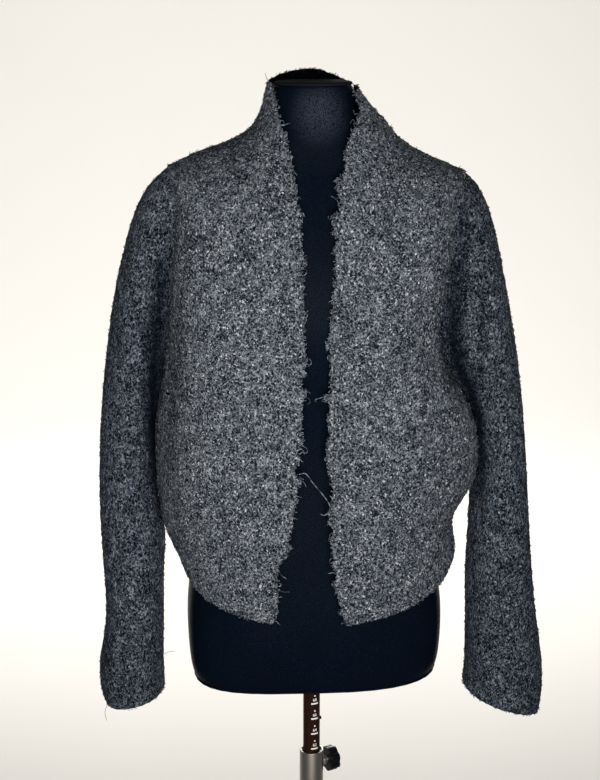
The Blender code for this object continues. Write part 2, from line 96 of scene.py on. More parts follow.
class Sock:
    """A socket of a node tree that can be used in arithmetic."""

    def __init__(self, shader: "Shader", socket: bpy.types.NodeSocket) -> None:
        """Keeps the socket and the shader that it belongs to."""
        self.shader = shader
        self.socket = socket

    def maths(self, operation: str, first: object, second: object) -> "Sock":
        """Adds one Math node.

        Args:
            operation: the Math node's operation.
            first: the first operand, a socket or a number.
            second: the second operand.

        Returns:
            The node's result.
        """
        return self.shader.node("ShaderNodeMath", {"operation": operation}, {0: first, 1: second})

    __add__, __radd__ = _operator("ADD"), _operator("ADD", swapped=True)
    __sub__, __rsub__ = _operator("SUBTRACT"), _operator("SUBTRACT", swapped=True)
    __mul__, __rmul__ = _operator("MULTIPLY"), _operator("MULTIPLY", swapped=True)

    def __abs__(self) -> "Sock":
        """The size without its sign."""
        return self.maths("ABSOLUTE", self, 0.0)

    def above(self, low: float, high: float) -> "Sock":
        """A smooth step.

        Args:
            low: where the step starts.
            high: where it is complete.

        Returns:
            0 below low, 1 above high and a smooth curve between them.
        """
        return self.shader.node(
            "ShaderNodeMapRange",
            {"interpolation_type": "SMOOTHSTEP"},
            {"Value": self, "From Min": low, "From Max": high},
        )


class Shader:
    """A material under construction."""

    def __init__(self, name: str) -> None:
        """Starts an empty material of that name."""
        self.material = bpy.data.materials.new(name)
        self.material.use_nodes = True
        self.tree = self.material.node_tree
        self.tree.nodes.clear()

    def node(self, kind: str, settings: dict, sockets: dict, out: object = 0) -> Sock:
        """Makes a node.

        Args:
            kind: the node's type.
            settings: its properties, set first; "stops" fills a colour ramp.
            sockets: values or links of its inputs, by name or number.
            out: the output that is wanted, by name or number.

        Returns:
            That output.
        """
        made = self.tree.nodes.new(kind)
        for key, value in settings.items():
            if key == "stops":
                self._fill(made.color_ramp, value)
            else:
                setattr(made, key, value)
        for key, value in sockets.items():
            if isinstance(value, Sock):
                self.tree.links.new(value.socket, made.inputs[key])
            else:
                made.inputs[key].default_value = value
        return Sock(self, made.outputs[out])

    @staticmethod
    def _fill(ramp: bpy.types.ColorRamp, stops: list[tuple[float, Colour]]) -> None:
        """Sets the stops of a colour ramp."""
        while len(ramp.elements) < len(stops):
            ramp.elements.new(1.0)
        for element, (place, colour) in zip(ramp.elements, stops):
            element.position = place
            element.color = (*colour, 1.0)

    def place(self, scale: Point = (1.0, 1.0, 1.0)) -> Sock:
        """The object's own coordinates, in metres, times a scale on each axis."""
        coordinates = self.node("ShaderNodeTexCoord", {}, {}, "Object")
        return self.node("ShaderNodeMapping", {}, {"Vector": coordinates, "Scale": scale})

    def noise(self, at: Sock, size: float, detail: float = 2.0, rough: float = 0.5) -> Sock:
        """Soft noise from 0 to 1.

        Args:
            at: the place.
            size: the size of its blobs, in metres.
            detail: octaves.
            rough: weight of the finer octaves.

        Returns:
            The noise.
        """
        return self.node(
            "ShaderNodeTexNoise",
            {},
            {"Vector": at, "Scale": 1.0 / size, "Detail": detail, "Roughness": rough},
        )

    def cells(self, at: Sock, size: float, out: str = "Distance") -> Sock:
        """Voronoi cells of that size, in metres: the distance to a middle, or a random colour."""
        return self.node("ShaderNodeTexVoronoi", {}, {"Vector": at, "Scale": 1.0 / size}, out)

    def warped(self, at: Sock, size: float, reach: float) -> Sock:
        """A place pushed about by noise.

        Args:
            at: the place.
            size: the size of the noise's blobs, in metres.
            reach: how far a point moves, in metres.

        Returns:
            The new place.
        """
        push = self.node(
            "ShaderNodeTexNoise", {}, {"Vector": at, "Scale": 1.0 / size, "Detail": 1.0}, "Color"
        )
        middle = self.node(
            "ShaderNodeVectorMath", {"operation": "SUBTRACT"}, {0: push, 1: (0.5, 0.5, 0.5)}
        )
        moved = self.node(
            "ShaderNodeVectorMath", {"operation": "SCALE"}, {0: middle, "Scale": 2.0 * reach}
        )
        return self.node("ShaderNodeVectorMath", {"operation": "ADD"}, {0: at, 1: moved})

    def mix(self, factor: object, first: object, second: object) -> Sock:
        """Mixes two colours.

        Args:
            factor: 0 for the first, 1 for the second.
            first: a colour or socket.
            second: a colour or socket.

        Returns:
            The mixed colour.
        """
        pair = [v if isinstance(v, Sock) else (*v, 1.0) for v in (first, second)]
        return self.node(
            "ShaderNodeMix", {"data_type": "RGBA"}, {0: factor, 6: pair[0], 7: pair[1]}, 2
        )

    def ramp(self, value: Sock, stops: list[tuple[float, Colour]]) -> Sock:
        """Turns a number into a colour by the stops of a ramp."""
        return self.node("ShaderNodeValToRGB", {"stops": stops}, {0: value})

    def bump(self, height: Sock, depth: float, strength: float = 1.0) -> Sock:
        """A bumped normal; depth is the height's full range, in metres."""
        return self.node(
            "ShaderNodeBump", {}, {"Height": height, "Distance": depth, "Strength": strength}
        )

    def finish(self, **sockets: object) -> bpy.types.Material:
        """Ends the material with a principled shader.

        Args:
            sockets: its inputs, with spaces written as underscores.

        Returns:
            The material.
        """
        named = {key.replace("_", " "): value for key, value in sockets.items()}
        for key, value in named.items():
            if isinstance(value, tuple) and len(value) == 3:
                named[key] = (*value, 1.0)
        surface = self.node("ShaderNodeBsdfPrincipled", {}, named)
        output = self.tree.nodes.new("ShaderNodeOutputMaterial")
        self.tree.links.new(surface.socket, output.inputs["Surface"])
        return self.material


# --------------------------------------------------------------------------- finishes


def tinted(colour: Colour, tint: Colour) -> Colour:
    """A colour times a tint."""
    return tuple(a * b for a, b in zip(colour, tint))


@dataclass(frozen=True)
class BoucleWool:
    """Marled bouclé: curled yarns of dark, middle and light grey; painted shade in folds, optional
    painted light at the top.
    """

    dark: Colour = (0.0045, 0.0068, 0.0110)
    middle: Colour = (0.068, 0.077, 0.089)
    light: Colour = (0.310, 0.318, 0.332)
    fleck: Colour = (0.56, 0.54, 0.53)
    # Colour of the painted shade, mixed in by the vertices' "fold" value
    painted_fold_shade: Colour = (0.0006, 0.0022, 0.0062)
    curl: float = 2.1 * MM
    relief: float = 1.2 * MM
    bend_size: float = 6 * MM
    bend_reach: float = 1.6 * MM
    patch: float = 14 * MM
    roughness: float = 0.94
    specular: float = 0.06
    tones: tuple[float, ...] = (0.14, 0.46, 0.9)
    # Heights over which the painted light at the shoulders fades in
    painted_light_heights: tuple[float, float] = (1.245, 1.335)

    def make(
        self, name: str, stretch: float = 1.0, tint: Colour = (1.0, 1.0, 1.0),
        top_painted_light: Colour | None = None,
    ) -> bpy.types.Material:
        """Makes the wool.

        Args:
            name: the material's name.
            stretch: how much longer than wide its curls hang.
            tint: its colours against the body's wool; on the sleeves, painted shade.
            top_painted_light: its colours above the shoulder heights, painted light over the
                painted shade below; none for one tint.

        Returns:
            The material.
        """
        s = Shader(name)
        at = s.warped(s.place((1.0, 1.0, 1.0 / stretch)), self.bend_size, self.bend_reach)
        worm = s.noise(at, self.curl * 1.35, 1.0, 0.5)
        ridge = s.node("ShaderNodeClamp", {}, {"Value": 1.0 - (abs(worm - 0.5) * 8.0)})
        grain = s.cells(at, self.curl * 0.6)
        strand = s.cells(at, self.curl * 1.1, "Color")
        patch = s.noise(s.place(), self.patch, 3.0, 0.6)
        tone = ridge * 0.5 + strand * 0.42 + (1.0 - grain) * 0.16 + (patch - 0.5) * 0.6 - 0.1
        colour = s.ramp(tone, self._stops(tint))
        # Painted light: above the shoulder heights the sleeve takes a lighter tint than the painted
        # shade lower down
        if top_painted_light:
            high = s.node("ShaderNodeSeparateXYZ", {}, {"Vector": s.place()}, "Z")
            top = s.ramp(tone, self._stops(top_painted_light))
            colour = s.mix(high.above(*self.painted_light_heights), colour, top)
        speck = s.cells(at, self.curl * 0.8, "Color").above(0.80, 0.86) * ridge
        colour = s.mix(speck, colour, tinted(self.fleck, tint))
        # Painted shade: the wool darkens to a near-black blue where the vertices' "fold" value is
        # high
        painted_fold_shade = s.node("ShaderNodeAttribute", {"attribute_name": "fold"}, {}, "Fac")
        colour = s.mix(painted_fold_shade, colour, self.painted_fold_shade)
        height = ridge * 0.55 + (1.0 - grain) * 0.45
        return s.finish(
            Base_Color=colour,
            Roughness=self.roughness,
            Normal=s.bump(height, self.relief),
            Specular_IOR_Level=self.specular,
        )

    def _stops(self, tint: Colour) -> list[tuple[float, Colour]]:
        """The tinted stops of the colour ramp, from dark to light."""
        shades = (self.dark, self.middle, self.light)
        return [(tone, tinted(shade, tint)) for tone, shade in zip(self.tones, shades)]


@dataclass(frozen=True)
class WoolYarn:
    """One of the loose yarns of the nap and the frayed edges."""

    colour: Colour = (0.125, 0.135, 0.155)
    shares: tuple[float, ...] = (0.16, 0.75, 2.3)
    stops: tuple[float, ...] = (0.3, 0.5, 0.68)
    patch: float = 4 * MM
    fibre: float = 0.4 * MM

    def make(self, name: str, tint: Colour = (1.0, 1.0, 1.0)) -> bpy.types.Material:
        """Makes the yarn: patches of dark and light along it.

        Args:
            name: the material's name.
            tint: its colours against the body's yarn.

        Returns:
            The material.
        """
        s = Shader(name)
        patch = s.noise(s.place(), self.patch, 1.0)
        shades = [tuple(share * c for c in tinted(self.colour, tint)) for share in self.shares]
        colour = s.ramp(patch, list(zip(self.stops, shades)))
        fibre = s.noise(s.place(), self.fibre, 1.0)
        return s.finish(
            Base_Color=colour,
            Roughness=0.9,
            Normal=s.bump(fibre, 0.1 * MM),
            Specular_IOR_Level=0.2,
        )


@dataclass(frozen=True)
class Jersey:
    """Close knitted cover of the form, nearly black, with a fine bluish grain and a painted
    highlight on the front of the neck.
    """

    dark: Colour = (0.0022, 0.0038, 0.0078)
    pale: Colour = (0.0036, 0.0085, 0.0185)
    painted_highlight: Colour = (0.0330, 0.0400, 0.0620)
    stitch: float = 0.9 * MM
    grain: float = 1.3 * MM
    cloud: float = 60 * MM
    relief: float = 0.4 * MM
    highlight_centre: Point = (0.006, -0.050, 1.398)
    highlight_fade: tuple[float, float] = (0.004, 0.042)
    specular: float = 0.012

    def make(self, name: str) -> bpy.types.Material:
        """Makes the jersey and returns it."""
        s = Shader(name)
        at = s.place()
        knit = s.cells(s.place((1.0, 1.0, 0.62)), self.stitch)
        grain = s.noise(at, self.grain, 2.0, 0.6)
        cloud = s.noise(at, self.cloud, 2.0)
        tone = grain.above(0.46, 0.66) * 0.8 + (cloud - 0.5) * 0.4 + knit * 0.2 - 0.1
        colour = s.mix(s.node("ShaderNodeClamp", {}, {"Value": tone}), self.dark, self.pale)
        # Painted highlight: a grainy pale patch on the front of the neck, fading out from its
        # centre
        away = s.node(
            "ShaderNodeVectorMath", {"operation": "DISTANCE"}, {0: at, 1: self.highlight_centre}, "Value"
        )
        highlight_mask = (1.0 - away.above(*self.highlight_fade)) * grain.above(0.34, 0.62)
        return s.finish(
            Base_Color=s.mix(highlight_mask, colour, self.painted_highlight),
            Roughness=0.30 + (grain - 0.5) * 0.2,
            Normal=s.bump((1.0 - knit) * 0.6 + grain * 0.4, self.relief, 0.9),
            Specular_IOR_Level=self.specular,
        )


@dataclass(frozen=True)
class Cast:
    """A plain moulded, painted or metal surface with its own unevenness."""

    base: Colour
    worn: Colour
    roughness: float = 0.4
    spread: float = 0.12
    metallic: float = 0.0
    grain: float = 0.6 * MM
    relief: float = 0.03 * MM
    cloud: float = 45 * MM
    streak: Point = (1.0, 1.0, 1.0)
    specular: float = 0.5

    def make(self, name: str) -> bpy.types.Material:
        """Makes the surface and returns it."""
        s = Shader(name)
        at = s.place(self.streak)
        fine = s.noise(at, self.grain, 3.0, 0.6)
        broad = s.noise(at, self.cloud, 2.0)
        colour = s.mix((fine * 0.5 + broad * 0.5).above(0.35, 0.7), self.base, self.worn)
        return s.finish(
            Base_Color=colour,
            Roughness=self.roughness + (fine - 0.5) * self.spread,
            Metallic=self.metallic,
            Normal=s.bump(fine, self.relief, 0.5),
            Specular_IOR_Level=self.specular,
        )


class Finish(Enum):
    """Finishes of the hard pieces."""

    CAP = Cast(
        (0.0062, 0.0072, 0.0105), (0.0110, 0.0125, 0.0180), 0.9, 0.15, grain=1.5 * MM,
        specular=0.05,
    )
    POLE = Cast(
        (0.0170, 0.0072, 0.0042), (0.0300, 0.0118, 0.0062), 0.38, 0.2, grain=1.1 * MM,
        streak=(1.0, 1.0, 0.12), specular=0.06,
    )
    STEEL = Cast(
        (0.43, 0.395, 0.355), (0.52, 0.485, 0.44), 0.40, 0.16, 1.0, grain=0.5 * MM,
        relief=0.02 * MM, streak=(1.0, 1.0, 0.04),
    )
    TURNED = Cast((0.74, 0.73, 0.72), (0.86, 0.85, 0.84), 0.42, 0.1, 1.0, grain=0.8 * MM)
    PLASTIC = Cast(
        (0.0022, 0.0024, 0.0034), (0.0045, 0.0046, 0.0060), 0.42, 0.14, grain=0.5 * MM,
        specular=0.22,
    )
    PAINT = Cast((0.016, 0.016, 0.017), (0.026, 0.026, 0.028), 0.46, 0.2, grain=0.9 * MM,
                 relief=0.05 * MM)
    PRINT = Cast((0.92, 0.90, 0.88), (1.0, 0.98, 0.96), 0.5, 0.1, grain=0.7 * MM)

    def material(self) -> bpy.types.Material:
        """The finish's material, made once."""
        name = "finish_" + self.name.lower()
        return bpy.data.materials.get(name) or self.value.make(name)


# --------------------------------------------------------------------------- modelling helpers


def select_none() -> None:
    """Deselects every object."""
    for other in bpy.context.view_layer.objects:
        other.select_set(False)


def alone(item: bpy.types.Object) -> None:
    """Makes an object the only selected one, and the active one."""
    select_none()
    item.select_set(True)
    bpy.context.view_layer.objects.active = item


def linked(name: str, data: bpy.types.ID) -> bpy.types.Object:
    """Puts an object with that name and data in the scene and returns it."""
    item = bpy.data.objects.new(name, data)
    bpy.context.scene.collection.objects.link(item)
    return item


def apply_modifiers(item: bpy.types.Object) -> None:
    """Applies every modifier of an object, in order."""
    alone(item)
    for name in [m.name for m in item.modifiers]:
        bpy.ops.object.modifier_apply(modifier=name)


def dress(
    item: bpy.types.Object, material: bpy.types.Material, body: str, slot: str, *nodes: str
) -> bpy.types.Object:
    """Gives a piece its material and its place in the frame.

    Args:
        item: the piece.
        material: its material.
        body: the body that it rides on.
        slot: the record's material slot; not used.
        nodes: the CAD nodes that it stands for.

    Returns:
        The piece.
    """
    item.data.materials.clear()
    item.data.materials.append(material)
    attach(item, body)
    if nodes:
        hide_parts(*nodes)
    LOG.info("%s: %d faces", item.name, len(item.data.polygons))
    return item


def settle(item: bpy.types.Object, angle: float = 35.0) -> bpy.types.Object:
    """Puts an object's place into its mesh and shades it smooth up to an angle in degrees."""
    alone(item)
    bpy.ops.object.transform_apply(location=True, rotation=True, scale=True)
    bpy.ops.object.shade_smooth_by_angle(angle=math.radians(angle))
    return item


def cylinder(
    name: str, radius: float, low: float, high: float, sides: int = 96, open_ends: bool = False
) -> bpy.types.Object:
    """Adds an upright cylinder on the pole's axis.

    Args:
        name: the object's name.
        radius: its radius.
        low: height of its foot.
        high: height of its top.
        sides: faces round it.
        open_ends: leaves the ends open.

    Returns:
        The cylinder.
    """
    select_none()
    bpy.ops.mesh.primitive_cylinder_add(
        vertices=sides,
        radius=radius,
        depth=high - low,
        end_fill_type="NOTHING" if open_ends else "NGON",
        location=(0.0, 0.0, (low + high) / 2),
    )
    made = bpy.context.active_object
    made.name = name
    bpy.ops.object.transform_apply(location=True, rotation=True, scale=True)
    return made


def edit_top(item: bpy.types.Object, upwards: bool = True) -> None:
    """Opens edit mode with only the flat top or underside selected."""
    alone(item)
    bpy.ops.object.mode_set(mode="EDIT")
    bpy.ops.mesh.select_mode(type="FACE")
    bpy.ops.mesh.select_all(action="DESELECT")
    bm = bmesh.from_edit_mesh(item.data)
    sign = 1.0 if upwards else -1.0
    best = max((f.calc_center_median().z * sign for f in bm.faces))
    for face in bm.faces:
        flat = face.normal.z * sign > 0.99
        face.select_set(flat and face.calc_center_median().z * sign > best - 1e-6)
    bmesh.update_edit_mesh(item.data)


def raise_top(item: bpy.types.Object, rise: float, scale: float) -> None:
    """Extrudes the top face upwards and scales it.

    Args:
        item: the object.
        rise: how far up; below zero sinks it.
        scale: factor on its width.
    """
    edit_top(item)
    bpy.ops.mesh.extrude_region_move(TRANSFORM_OT_translate={"value": (0.0, 0.0, rise)})
    bpy.ops.transform.resize(value=(scale, scale, 1.0))
    bpy.ops.object.mode_set(mode="OBJECT")


def inset_top(item: bpy.types.Object, width: float) -> None:
    """Insets the top face by that width."""
    edit_top(item)
    bpy.ops.mesh.inset(thickness=width)
    bpy.ops.object.mode_set(mode="OBJECT")


def break_edges(item: bpy.types.Object, width: float, segments: int = 3, angle: float = 35) -> None:
    """Bevels an object's edges sharper than an angle in degrees, and applies it."""
    bevel = item.modifiers.new("edges", "BEVEL")
    bevel.width = width
    bevel.segments = segments
    bevel.limit_method = "ANGLE"
    bevel.angle_limit = math.radians(angle)
    apply_modifiers(item)


def turned_to(item: bpy.types.Object, axis: Vector, foot: Vector) -> bpy.types.Object:
    """Turns an object's +Z to an axis and moves its origin to a foot, in its mesh."""
    item.matrix_world = Matrix.Translation(foot) @ axis.to_track_quat("Z", "Y").to_matrix().to_4x4()
    return settle(item)


def yarns(
    name: str, paths: list[np.ndarray], radius: float, closed: bool = False
) -> bpy.types.Object:
    """Makes round yarns along paths and joins them in one mesh.

    Args:
        name: the object's name.
        paths: the points of each yarn.
        radius: the yarn's radius.
        closed: whether each runs back to its start; open ones taper to their end.

    Returns:
        The mesh object.
    """
    curve = bpy.data.curves.new(name, "CURVE")
    curve.dimensions = "3D"
    curve.bevel_depth = radius
    curve.bevel_resolution = 3 if closed else 0
    curve.use_fill_caps = not closed
    for path in paths:
        spline = curve.splines.new("POLY")
        spline.points.add(len(path) - 1)
        spline.points.foreach_set("co", np.hstack([path, np.ones((len(path), 1))]).ravel())
        spline.use_cyclic_u = closed
        if not closed:
            spline.points[-1].radius = YARN_END
    alone(linked(name, curve))
    bpy.ops.object.convert(target="MESH")
    item = bpy.context.active_object
    item.name = name
    bpy.ops.object.shade_smooth()
    return item


def rounded_copy(
    node: str, name: str, join: float, sharp: float, crease: float, levels: int
) -> bpy.types.Object:
    """Copies a CAD solid and rounds it by subdivision.

    Args:
        node: the CAD node.
        name: the copy's name.
        join: angle in degrees up to which triangles are joined.
        sharp: angle in degrees past which an edge is creased.
        crease: how hard it is creased, from 0 to 1.
        levels: levels of subdivision.

    Returns:
        The copy.
    """
    mesh = frame["nodes"][node].data.copy()
    bm = bmesh.new()
    bm.from_mesh(mesh)
    bmesh.ops.remove_doubles(bm, verts=bm.verts, dist=0.01 * MM)
    bmesh.ops.join_triangles(
        bm, faces=bm.faces, angle_face_threshold=math.radians(join),
        angle_shape_threshold=math.radians(80),
    )
    layers = bm.edges.layers.float
    creases = layers.get("crease_edge") or layers.new("crease_edge")
    for edge in bm.edges:
        if len(edge.link_faces) == 2 and edge.calc_face_angle() > math.radians(sharp):
            edge[creases] = crease
    bm.to_mesh(mesh)
    bm.free()
    mesh.name = name
    item = linked(name, mesh)
    rounding = item.modifiers.new("rounding", "SUBSURF")
    rounding.levels = rounding.render_levels = levels
    apply_modifiers(item)
    alone(item)
    return item


def rim_points(
    places: np.ndarray, along: np.ndarray, out: np.ndarray, step: float = 1.5 * MM
) -> np.ndarray:
    """Picks the outermost point of each short step along an edge.

    Args:
        places: the points to pick from.
        along: how far along the edge each is.
        out: how far out each is.
        step: length of a step.

    Returns:
        The picked points, in their order along the edge.
    """
    bins = np.round(along / step).astype(int)
    order = np.lexsort((out, bins))
    last = np.nonzero(np.diff(bins[order], append=bins.max() + 9))[0]
    return places[order[last]]


# --------------------------------------------------------------------------- cloth


# The cut pieces: flat width, flat height, flat area, fibres of nap, how much longer than wide
# the lumps are, and the side of the raw front edge (+1 at +X, -1 at -X, 0 for none)
PANELS = {
    "front_right": (0.245, 0.62, 0.108, 2400, 1.15, 1.0),
    "front_left": (0.245, 0.62, 0.108, 2400, 1.15, -1.0),
    "back": (0.44, 0.60, 0.217, 3600, 1.15, 0.0),
    "sleeve_right": (0.36, 0.70, 0.16, 2600, 1.9, 0.0),
    "sleeve_left": (0.36, 0.70, 0.16, 2600, 1.9, 0.0),
}
# Shade painted into the wool, by panel, in folds, at the fronts' tops and along their sides:
# paths of (x, z, half width, depth) in metres, depth 0 to 1
FOLD_SHADES = {
    "sleeve_right": [[(-0.148, 1.297, 0.010, 0.2), (-0.157, 1.270, 0.016, 0.4),
                      (-0.168, 1.229, 0.020, 0.65), (-0.176, 1.180, 0.022, 0.85),
                      (-0.179, 1.134, 0.022, 0.92), (-0.182, 1.096, 0.018, 0.95),
                      (-0.184, 1.044, 0.015, 0.95), (-0.184, 1.000, 0.012, 0.9),
                      (-0.180, 0.945, 0.009, 0.6)]],
    "sleeve_left": [[(0.170, 1.318, 0.014, 0.35), (0.167, 1.282, 0.017, 0.55),
                     (0.159, 1.226, 0.021, 0.75), (0.155, 1.188, 0.024, 0.85),
                     (0.157, 1.145, 0.025, 0.92), (0.165, 1.112, 0.024, 0.95),
                     (0.182, 1.080, 0.018, 0.95), (0.192, 1.047, 0.014, 0.95),
                     (0.197, 1.005, 0.012, 0.9), (0.196, 0.955, 0.009, 0.6)],
                    [(0.181, 1.308, 0.007, 0.35), (0.184, 1.245, 0.009, 0.45),
                     (0.187, 1.188, 0.009, 0.5), (0.187, 1.130, 0.009, 0.5),
                     (0.190, 1.075, 0.012, 0.6)]],
    "front_right": [[(-0.045, 1.425, 0.035, 0.28), (-0.060, 1.385, 0.040, 0.26),
                     (-0.075, 1.350, 0.045, 0.18), (-0.080, 1.310, 0.045, 0.05)],
                    [(-0.142, 1.285, 0.012, 0.15), (-0.147, 1.225, 0.016, 0.35),
                     (-0.151, 1.165, 0.016, 0.40), (-0.156, 1.090, 0.014, 0.40),
                     (-0.166, 1.030, 0.010, 0.3)]],
    "front_left": [[(0.048, 1.415, 0.020, 0.16), (0.062, 1.385, 0.024, 0.14),
                    (0.075, 1.345, 0.028, 0.06)],
                   [(0.152, 1.250, 0.010, 0.10), (0.143, 1.200, 0.014, 0.30),
                    (0.142, 1.140, 0.014, 0.35), (0.152, 1.100, 0.012, 0.35)]],
}


# How the raw front edges were torn, by panel: (height in metres, step across in millimetres)
EDGE_STEPS = {
    "front_right": [
        (1.430, -1), (1.400, -6), (1.385, -7.5), (1.374, -3.5), (1.365, -4.5), (1.353, -3),
        (1.341, -5.5), (1.322, -2.5), (1.305, -4), (1.293, 0), (1.281, -2), (1.262, -4),
        (1.246, -0.5), (1.237, -5), (1.228, -3), (1.200, -5), (1.172, -4.5), (1.159, -5),
        (1.139, -2), (1.126, -6), (1.113, -8), (1.106, -1.5), (1.093, -8), (1.079, -5.5),
        (1.052, -3.5), (1.039, -7), (1.032, -2.5), (1.022, -8), (1.013, -6), (1.008, -1),
        (0.995, -3), (0.984, -2), (0.970, -5.5), (0.950, -5), (0.941, -8.5), (0.931, -1),
        (0.921, -3.5), (0.913, -8.5), (0.900, -10), (0.890, -6.5), (0.879, -4.5), (0.865, -2),
        (0.851, -1), (0.841, -3.5)],
    "front_left": [
        (1.420, 0), (1.389, 3), (1.365, -2), (1.341, 4), (1.328, -1.5), (1.317, 2),
        (1.305, 8.5), (1.299, 6.5), (1.293, -1), (1.281, 3), (1.275, 1), (1.269, 8.5),
        (1.262, 4), (1.246, 4.5), (1.230, 6), (1.205, 3), (1.180, 2), (1.159, -1.5),
        (1.133, 2), (1.113, 1), (1.106, 3), (1.099, -5), (1.093, 1), (1.079, 0), (1.059, 2),
        (1.046, -1), (1.032, -3), (1.018, -2), (0.998, 1), (0.984, -1), (0.970, -3),
        (0.958, -4.4), (0.949, -1), (0.935, -3.3), (0.915, -2.2), (0.908, -4.4), (0.900, -1),
        (0.893, 0), (0.887, -6.5), (0.879, -4), (0.869, -0.5), (0.858, 0), (0.850, -1),
        (0.843, 3)],
}
# Tufts that hang out of the front edges, by panel: height in metres and reach in millimetres
TUFTS = {
    "front_right": [(1.128, 6), (1.107, 8), (1.052, 7), (1.008, 7), (0.930, 8), (0.921, 6),
                    (1.294, 6), (1.247, 5)],
    "front_left": [(1.328, 7), (1.293, 8), (1.276, 6), (1.160, 6), (1.099, 9), (1.032, 6),
                   (0.958, 6), (0.907, 9), (0.887, 10), (0.879, 7), (0.935, 6)],
}

# Long threads that hang from the edges: panel, radius and points, all in metres
THREADS = (
    ("front_right", 0.55 * MM, [
        (-0.0222, -0.1290, 1.0162), (-0.0146, -0.1310, 1.0172), (-0.0069, -0.1325, 1.0068),
        (0.0007, -0.1330, 0.9975), (0.0084, -0.1325, 0.9870), (0.0118, -0.1320, 0.9778),
        (0.0063, -0.1315, 0.9698), (0.0008, -0.1310, 0.9711)]),
    ("front_left", 0.50 * MM, [
        (0.0145, -0.1285, 1.1006), (0.0059, -0.1300, 1.1032), (0.0005, -0.1305, 1.1021),
        (-0.0049, -0.1300, 1.1000), (-0.0030, -0.1298, 1.0975)]),
    ("front_right", 0.38 * MM, [
        (-0.0134, -0.1270, 1.1465), (-0.0092, -0.1295, 1.1429), (-0.0098, -0.1300, 1.1390),
        (-0.0135, -0.1285, 1.1392)]),
    ("front_right", 0.38 * MM, [
        (-0.0188, -0.1285, 1.0490), (-0.0134, -0.1305, 1.0452), (-0.0140, -0.1310, 1.0410),
        (-0.0189, -0.1295, 1.0415)]),
    ("front_left", 0.34 * MM, [
        (0.0225, -0.0900, 1.3060), (0.0191, -0.0950, 1.3114), (0.0138, -0.0960, 1.3146)]),
    ("front_right", 0.34 * MM, [
        (-0.0482, -0.0360, 1.4279), (-0.0515, -0.0340, 1.4332), (-0.0536, -0.0320, 1.4400)]),
    ("sleeve_right", 0.25 * MM, [
        (-0.1850, -0.0080, 0.7520), (-0.1791, -0.0100, 0.7544), (-0.1730, -0.0100, 0.7582),
        (-0.1634, -0.0100, 0.7592)]),
    ("sleeve_right", 0.25 * MM, [
        (-0.2440, -0.0100, 0.7020), (-0.2465, -0.0100, 0.6935), (-0.2505, -0.0100, 0.6818),
        (-0.2487, -0.0100, 0.6700)]),
)


